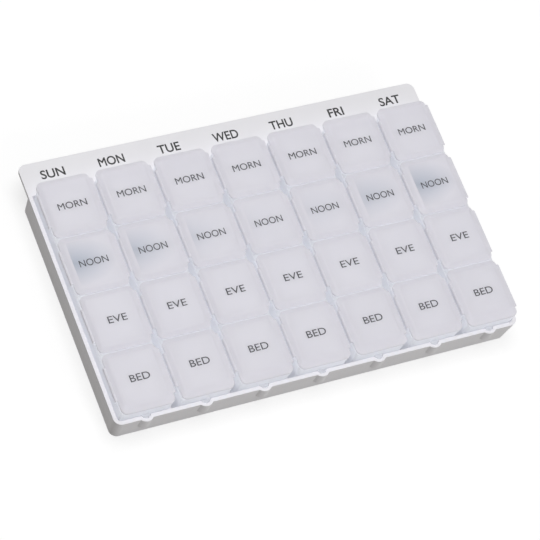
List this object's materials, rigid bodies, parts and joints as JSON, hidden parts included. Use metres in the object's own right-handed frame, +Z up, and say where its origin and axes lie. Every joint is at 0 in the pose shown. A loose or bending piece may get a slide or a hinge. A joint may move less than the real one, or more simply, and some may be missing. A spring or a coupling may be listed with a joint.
{
  "type": "weekly pill organizer",
  "caption": "Weekly pill organizer: a low moulded tray with a header plate holds lift-out day boxes, each a row of wells under flip lids on living hinges.",
  "frame": {"origin": "middle of the tray's underside, between its side walls and between the outer faces of its front and back walls", "axes": "+X along the row of day boxes from Sunday to Saturday, +Y from the front wall to the header plate, +Z up"},
  "size_m": [0.2218, 0.1458, 0.025],
  "materials": {
    "tray_plastic": "satin white moulded plastic",
    "box_plastic": "milky translucent polypropylene",
    "lid_plastic": "frosted translucent polypropylene"
  },
  "bodies": {
    "tray": {"tray": "tray_plastic"},
    "sun_box": {"sun_box": "box_plastic"},
    "mon_box": {"mon_box": "box_plastic"},
    "tue_box": {"tue_box": "box_plastic"},
    "wed_box": {"wed_box": "box_plastic"},
    "thu_box": {"thu_box": "box_plastic"},
    "fri_box": {"fri_box": "box_plastic"},
    "sat_box": {"sat_box": "box_plastic"},
    "sun_bed_lid": {"sun_bed_lid": "lid_plastic"},
    "sun_eve_lid": {"sun_eve_lid": "lid_plastic"},
    "sun_noon_lid": {"sun_noon_lid": "lid_plastic"},
    "sun_morn_lid": {"sun_morn_lid": "lid_plastic"},
    "mon_bed_lid": {"mon_bed_lid": "lid_plastic"},
    "mon_eve_lid": {"mon_eve_lid": "lid_plastic"},
    "mon_noon_lid": {"mon_noon_lid": "lid_plastic"},
    "mon_morn_lid": {"mon_morn_lid": "lid_plastic"},
    "tue_bed_lid": {"tue_bed_lid": "lid_plastic"},
    "tue_eve_lid": {"tue_eve_lid": "lid_plastic"},
    "tue_noon_lid": {"tue_noon_lid": "lid_plastic"},
    "tue_morn_lid": {"tue_morn_lid": "lid_plastic"},
    "wed_bed_lid": {"wed_bed_lid": "lid_plastic"},
    "wed_eve_lid": {"wed_eve_lid": "lid_plastic"},
    "wed_noon_lid": {"wed_noon_lid": "lid_plastic"},
    "wed_morn_lid": {"wed_morn_lid": "lid_plastic"},
    "thu_bed_lid": {"thu_bed_lid": "lid_plastic"},
    "thu_eve_lid": {"thu_eve_lid": "lid_plastic"},
    "thu_noon_lid": {"thu_noon_lid": "lid_plastic"},
    "thu_morn_lid": {"thu_morn_lid": "lid_plastic"},
    "fri_bed_lid": {"fri_bed_lid": "lid_plastic"},
    "fri_eve_lid": {"fri_eve_lid": "lid_plastic"},
    "fri_noon_lid": {"fri_noon_lid": "lid_plastic"},
    "fri_morn_lid": {"fri_morn_lid": "lid_plastic"},
    "sat_bed_lid": {"sat_bed_lid": "lid_plastic"},
    "sat_eve_lid": {"sat_eve_lid": "lid_plastic"},
    "sat_noon_lid": {"sat_noon_lid": "lid_plastic"},
    "sat_morn_lid": {"sat_morn_lid": "lid_plastic"}
  },
  "joints": [
    {"name": "sun_box_lift", "type": "slide", "parent": "tray", "child": "sun_box", "axis": [0, 0, 1], "range_m": [0, 0.04]},
    {"name": "mon_box_lift", "type": "slide", "parent": "tray", "child": "mon_box", "axis": [0, 0, 1], "range_m": [0, 0.04]},
    {"name": "tue_box_lift", "type": "slide", "parent": "tray", "child": "tue_box", "axis": [0, 0, 1], "range_m": [0, 0.04]},
    {"name": "wed_box_lift", "type": "slide", "parent": "tray", "child": "wed_box", "axis": [0, 0, 1], "range_m": [0, 0.04]},
    {"name": "thu_box_lift", "type": "slide", "parent": "tray", "child": "thu_box", "axis": [0, 0, 1], "range_m": [0, 0.04]},
    {"name": "fri_box_lift", "type": "slide", "parent": "tray", "child": "fri_box", "axis": [0, 0, 1], "range_m": [0, 0.04]},
    {"name": "sat_box_lift", "type": "slide", "parent": "tray", "child": "sat_box", "axis": [0, 0, 1], "range_m": [0, 0.04]},
    {"name": "sun_bed_hinge", "type": "hinge", "parent": "sun_box", "child": "sun_bed_lid", "pos_m": [-0.1084, -0.046, 0.0237], "axis": [0, -1, 0], "range_deg": [0, 105]},
    {"name": "sun_eve_hinge", "type": "hinge", "parent": "sun_box", "child": "sun_eve_lid", "pos_m": [-0.1084, -0.0142, 0.0237], "axis": [0, -1, 0], "range_deg": [0, 105]},
    {"name": "sun_noon_hinge", "type": "hinge", "parent": "sun_box", "child": "sun_noon_lid", "pos_m": [-0.1084, 0.0176, 0.0237], "axis": [0, -1, 0], "range_deg": [0, 105]},
    {"name": "sun_morn_hinge", "type": "hinge", "parent": "sun_box", "child": "sun_morn_lid", "pos_m": [-0.1084, 0.0494, 0.0237], "axis": [0, -1, 0], "range_deg": [0, 105]},
    {"name": "mon_bed_hinge", "type": "hinge", "parent": "mon_box", "child": "mon_bed_lid", "pos_m": [-0.0769, -0.046, 0.0237], "axis": [0, -1, 0], "range_deg": [0, 105]},
    {"name": "mon_eve_hinge", "type": "hinge", "parent": "mon_box", "child": "mon_eve_lid", "pos_m": [-0.0769, -0.0142, 0.0237], "axis": [0, -1, 0], "range_deg": [0, 105]},
    {"name": "mon_noon_hinge", "type": "hinge", "parent": "mon_box", "child": "mon_noon_lid", "pos_m": [-0.0769, 0.0176, 0.0237], "axis": [0, -1, 0], "range_deg": [0, 105]},
    {"name": "mon_morn_hinge", "type": "hinge", "parent": "mon_box", "child": "mon_morn_lid", "pos_m": [-0.0769, 0.0494, 0.0237], "axis": [0, -1, 0], "range_deg": [0, 105]},
    {"name": "tue_bed_hinge", "type": "hinge", "parent": "tue_box", "child": "tue_bed_lid", "pos_m": [-0.0454, -0.046, 0.0237], "axis": [0, -1, 0], "range_deg": [0, 105]},
    {"name": "tue_eve_hinge", "type": "hinge", "parent": "tue_box", "child": "tue_eve_lid", "pos_m": [-0.0454, -0.0142, 0.0237], "axis": [0, -1, 0], "range_deg": [0, 105]},
    {"name": "tue_noon_hinge", "type": "hinge", "parent": "tue_box", "child": "tue_noon_lid", "pos_m": [-0.0454, 0.0176, 0.0237], "axis": [0, -1, 0], "range_deg": [0, 105]},
    {"name": "tue_morn_hinge", "type": "hinge", "parent": "tue_box", "child": "tue_morn_lid", "pos_m": [-0.0454, 0.0494, 0.0237], "axis": [0, -1, 0], "range_deg": [0, 105]},
    {"name": "wed_bed_hinge", "type": "hinge", "parent": "wed_box", "child": "wed_bed_lid", "pos_m": [-0.0139, -0.046, 0.0237], "axis": [0, -1, 0], "range_deg": [0, 105]},
    {"name": "wed_eve_hinge", "type": "hinge", "parent": "wed_box", "child": "wed_eve_lid", "pos_m": [-0.0139, -0.0142, 0.0237], "axis": [0, -1, 0], "range_deg": [0, 105]},
    {"name": "wed_noon_hinge", "type": "hinge", "parent": "wed_box", "child": "wed_noon_lid", "pos_m": [-0.0139, 0.0176, 0.0237], "axis": [0, -1, 0], "range_deg": [0, 105]},
    {"name": "wed_morn_hinge", "type": "hinge", "parent": "wed_box", "child": "wed_morn_lid", "pos_m": [-0.0139, 0.0494, 0.0237], "axis": [0, -1, 0], "range_deg": [0, 105]},
    {"name": "thu_bed_hinge", "type": "hinge", "parent": "thu_box", "child": "thu_bed_lid", "pos_m": [0.0176, -0.046, 0.0237], "axis": [0, -1, 0], "range_deg": [0, 105]},
    {"name": "thu_eve_hinge", "type": "hinge", "parent": "thu_box", "child": "thu_eve_lid", "pos_m": [0.0176, -0.0142, 0.0237], "axis": [0, -1, 0], "range_deg": [0, 105]},
    {"name": "thu_noon_hinge", "type": "hinge", "parent": "thu_box", "child": "thu_noon_lid", "pos_m": [0.0176, 0.0176, 0.0237], "axis": [0, -1, 0], "range_deg": [0, 105]},
    {"name": "thu_morn_hinge", "type": "hinge", "parent": "thu_box", "child": "thu_morn_lid", "pos_m": [0.0176, 0.0494, 0.0237], "axis": [0, -1, 0], "range_deg": [0, 105]},
    {"name": "fri_bed_hinge", "type": "hinge", "parent": "fri_box", "child": "fri_bed_lid", "pos_m": [0.0491, -0.046, 0.0237], "axis": [0, -1, 0], "range_deg": [0, 105]},
    {"name": "fri_eve_hinge", "type": "hinge", "parent": "fri_box", "child": "fri_eve_lid", "pos_m": [0.0491, -0.0142, 0.0237], "axis": [0, -1, 0], "range_deg": [0, 105]},
    {"name": "fri_noon_hinge", "type": "hinge", "parent": "fri_box", "child": "fri_noon_lid", "pos_m": [0.0491, 0.0176, 0.0237], "axis": [0, -1, 0], "range_deg": [0, 105]},
    {"name": "fri_morn_hinge", "type": "hinge", "parent": "fri_box", "child": "fri_morn_lid", "pos_m": [0.0491, 0.0494, 0.0237], "axis": [0, -1, 0], "range_deg": [0, 105]},
    {"name": "sat_bed_hinge", "type": "hinge", "parent": "sat_box", "child": "sat_bed_lid", "pos_m": [0.0806, -0.046, 0.0237], "axis": [0, -1, 0], "range_deg": [0, 105]},
    {"name": "sat_eve_hinge", "type": "hinge", "parent": "sat_box", "child": "sat_eve_lid", "pos_m": [0.0806, -0.0142, 0.0237], "axis": [0, -1, 0], "range_deg": [0, 105]},
    {"name": "sat_noon_hinge", "type": "hinge", "parent": "sat_box", "child": "sat_noon_lid", "pos_m": [0.0806, 0.0176, 0.0237], "axis": [0, -1, 0], "range_deg": [0, 105]},
    {"name": "sat_morn_hinge", "type": "hinge", "parent": "sat_box", "child": "sat_morn_lid", "pos_m": [0.0806, 0.0494, 0.0237], "axis": [0, -1, 0], "range_deg": [0, 105]}
  ]
}
